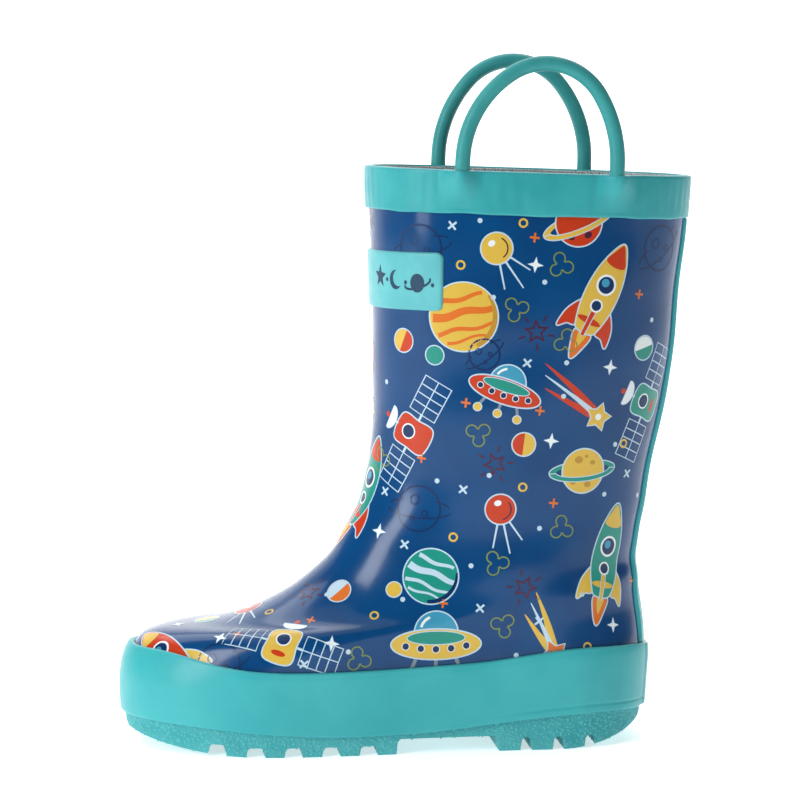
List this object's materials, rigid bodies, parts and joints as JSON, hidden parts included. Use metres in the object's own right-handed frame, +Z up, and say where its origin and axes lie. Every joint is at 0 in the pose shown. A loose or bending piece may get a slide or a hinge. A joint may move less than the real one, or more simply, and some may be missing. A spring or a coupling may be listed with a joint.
{
  "type": "rain boot",
  "caption": "Child's pull-on rubber rain boot with a printed glossy upper, a broad foxing band, a lugged sole, a soft knit lining and two cord pull handles at the rim.",
  "frame": {"origin": "on the floor under the centre of the bounding box", "axes": "+Z up, toe along -X, outer side of the foot along -Y (a left boot)"},
  "size_m": [0.206, 0.0805, 0.2461],
  "materials": {
    "printed_rubber": "glossy printed natural rubber, blue ground with a space pattern",
    "teal_rubber": "satin moulded natural rubber",
    "outsole_rubber": "fine pebbled natural rubber",
    "filler_rubber": "matt black rubber",
    "knit": "heathered grey cotton knit",
    "reinforcement": "rubberised canvas",
    "fibreboard": "pressed fibreboard",
    "foam": "closed-cell foam"
  },
  "bodies": {
    "boot": {"upper_shell": "printed_rubber", "foxing_band": "teal_rubber", "collar_band": "teal_rubber", "back_stay": "teal_rubber", "label_patch": "teal_rubber", "outsole": "outsole_rubber", "midsole_filler": "filler_rubber", "insole_board": "fibreboard", "footbed": "foam", "footbed_cloth": "knit", "lining": "knit", "toe_puff": "reinforcement", "heel_counter": "reinforcement", "outer_handle_front_anchor": "teal_rubber", "outer_handle_rear_anchor": "teal_rubber", "inner_handle_front_anchor": "teal_rubber", "inner_handle_rear_anchor": "teal_rubber"},
    "outer_handle": {"outer_handle": "teal_rubber"},
    "inner_handle": {"inner_handle": "teal_rubber"}
  },
  "joints": [
    {"name": "outer_handle_fold", "type": "hinge", "parent": "boot", "child": "outer_handle", "pos_m": [0.04313, -0.03638, 0.20753], "axis": [0.9995, 0, -0.033], "range_deg": [-60, 70], "stiffness_Nm_per_rad": 0.03},
    {"name": "inner_handle_fold", "type": "hinge", "parent": "boot", "child": "inner_handle", "pos_m": [0.04313, 0.03638, 0.20753], "axis": [-0.9995, 0, 0.033], "range_deg": [-60, 70], "stiffness_Nm_per_rad": 0.03}
  ]
}
